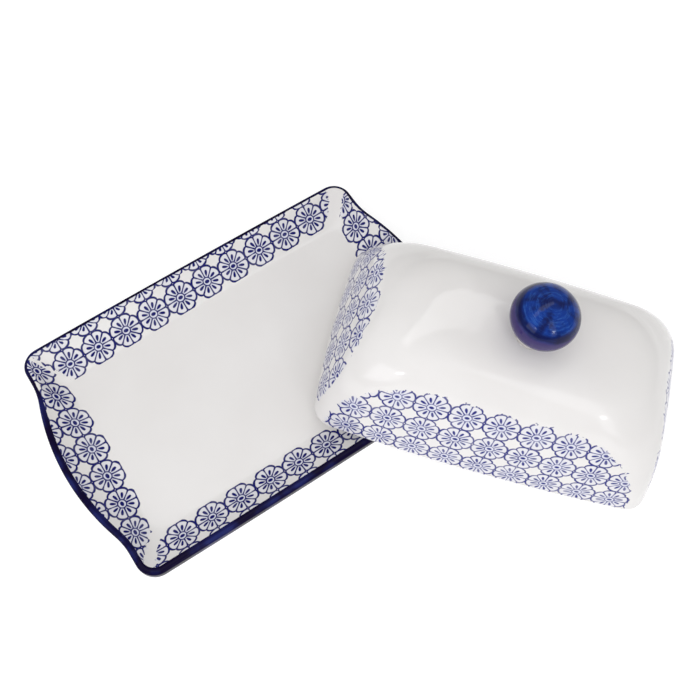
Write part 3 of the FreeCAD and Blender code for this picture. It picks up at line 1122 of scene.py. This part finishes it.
HORIZON_COLOUR = (0.54, 0.54, 0.55)
CEILING_COLOUR = (0.86, 0.855, 0.845)
SKY_BLEND = (0.05, 0.75)  # heights between which the one turns into the other
WORLD_STRENGTH = 0.70
TABLE_HALF = 4000.0
TABLE_DARK = (0.60, 0.60, 0.60)
TABLE_LIGHT = (0.62, 0.62, 0.62)
TABLE_GLOW = 0.55
TABLE_ROUGHNESS = 0.9
TABLE_SHINE = 0.1


def camera_axes():
    """The camera's right, up and back."""
    flat = math.cos(CAMERA_ELEVATION)
    back = Vector(
        (math.sin(CAMERA_AZIMUTH) * flat, -math.cos(CAMERA_AZIMUTH) * flat, math.sin(CAMERA_ELEVATION))
    )
    right = Vector((math.cos(CAMERA_AZIMUTH), math.sin(CAMERA_AZIMUTH), 0))
    up = back.cross(right)
    turned_right = right * math.cos(CAMERA_ROLL) + up * math.sin(CAMERA_ROLL)
    turned_up = up * math.cos(CAMERA_ROLL) - right * math.sin(CAMERA_ROLL)
    return turned_right, turned_up, back


def make_camera():
    camera = bpy.data.objects.new("camera", bpy.data.cameras.new("camera"))
    camera.data.lens = CAMERA_LENS
    camera.data.sensor_width = SENSOR_WIDTH
    right, up, back = camera_axes()
    matrix = Matrix((right, up, back)).transposed().to_4x4()
    matrix.translation = (CAMERA_TARGET + back * CAMERA_DISTANCE) * MM
    camera.matrix_world = matrix
    bpy.context.scene.collection.objects.link(camera)
    bpy.context.scene.camera = camera


def softbox(name, azimuth, elevation, distance, width, height, power, colour):
    """An area light that faces the dish from a direction in degrees, 0 azimuth in front."""
    light = bpy.data.lights.new(name, "AREA")
    light.shape = "RECTANGLE"
    light.size = width * MM
    light.size_y = height * MM
    light.energy = power
    light.color = colour
    lamp = bpy.data.objects.new(name, light)
    a, e = math.radians(azimuth), math.radians(elevation)
    away = Vector((math.sin(a) * math.cos(e), -math.cos(a) * math.cos(e), math.sin(e)))
    matrix = away.to_track_quat("Z", "Y").to_matrix().to_4x4()
    matrix.translation = (LIGHT_TARGET + away * distance) * MM
    lamp.matrix_world = matrix
    bpy.context.scene.collection.objects.link(lamp)
    return lamp


def make_lights():
    """A long box overhead, a window with a lamp in it to either side of the camera, and two fills."""
    for name, setting in SOFTBOXES.items():
        softbox(name, *setting).visible_glossy = name not in FILLS


def make_world():
    """Bright above and darker towards the horizon, like a studio with a white ceiling."""
    world = bpy.data.worlds.new("studio")
    bpy.context.scene.world = world
    world.use_nodes = True
    tree = world.node_tree
    coordinate = tree.nodes.new("ShaderNodeTexCoord")
    split = tree.nodes.new("ShaderNodeSeparateXYZ")
    tree.links.new(coordinate.outputs["Generated"], split.inputs["Vector"])
    height = Value(tree, split.outputs["Z"]).smooth(*SKY_BLEND)
    background = tree.nodes["Background"]
    tree.links.new(mixed(tree, height, HORIZON_COLOUR, CEILING_COLOUR), background.inputs["Color"])
    background.inputs["Strength"].default_value = WORLD_STRENGTH


def make_floor():
    """A table that glows a little, so that it stays white with soft shadows."""
    half = TABLE_HALF * MM
    square = [(-half, -half, 0), (half, -half, 0), (half, half, 0), (-half, half, 0)]
    mesh = bpy.data.meshes.new("studio_floor")
    mesh.from_pydata(square, [], [(0, 1, 2, 3)])
    floor = bpy.data.objects.new("studio_floor", mesh)
    bpy.context.scene.collection.objects.link(floor)
    material, tree, shader = new_material("pale_floor")
    tone = cloud(tree, object_place(tree), 3.0)
    tree.links.new(mixed(tree, tone, TABLE_DARK, TABLE_LIGHT), shader.inputs["Base Color"])
    shader.inputs["Emission Color"].default_value = (*NEUTRAL, 1.0)
    shader.inputs["Emission Strength"].default_value = TABLE_GLOW
    shader.inputs["Roughness"].default_value = TABLE_ROUGHNESS
    shader.inputs["Specular IOR Level"].default_value = TABLE_SHINE
    mesh.materials.append(material)


bpy.context.scene.view_settings.view_transform = "Standard"
make_camera()
make_world()
make_lights()
make_floor()
make_tray()
make_lid()
make_knob()
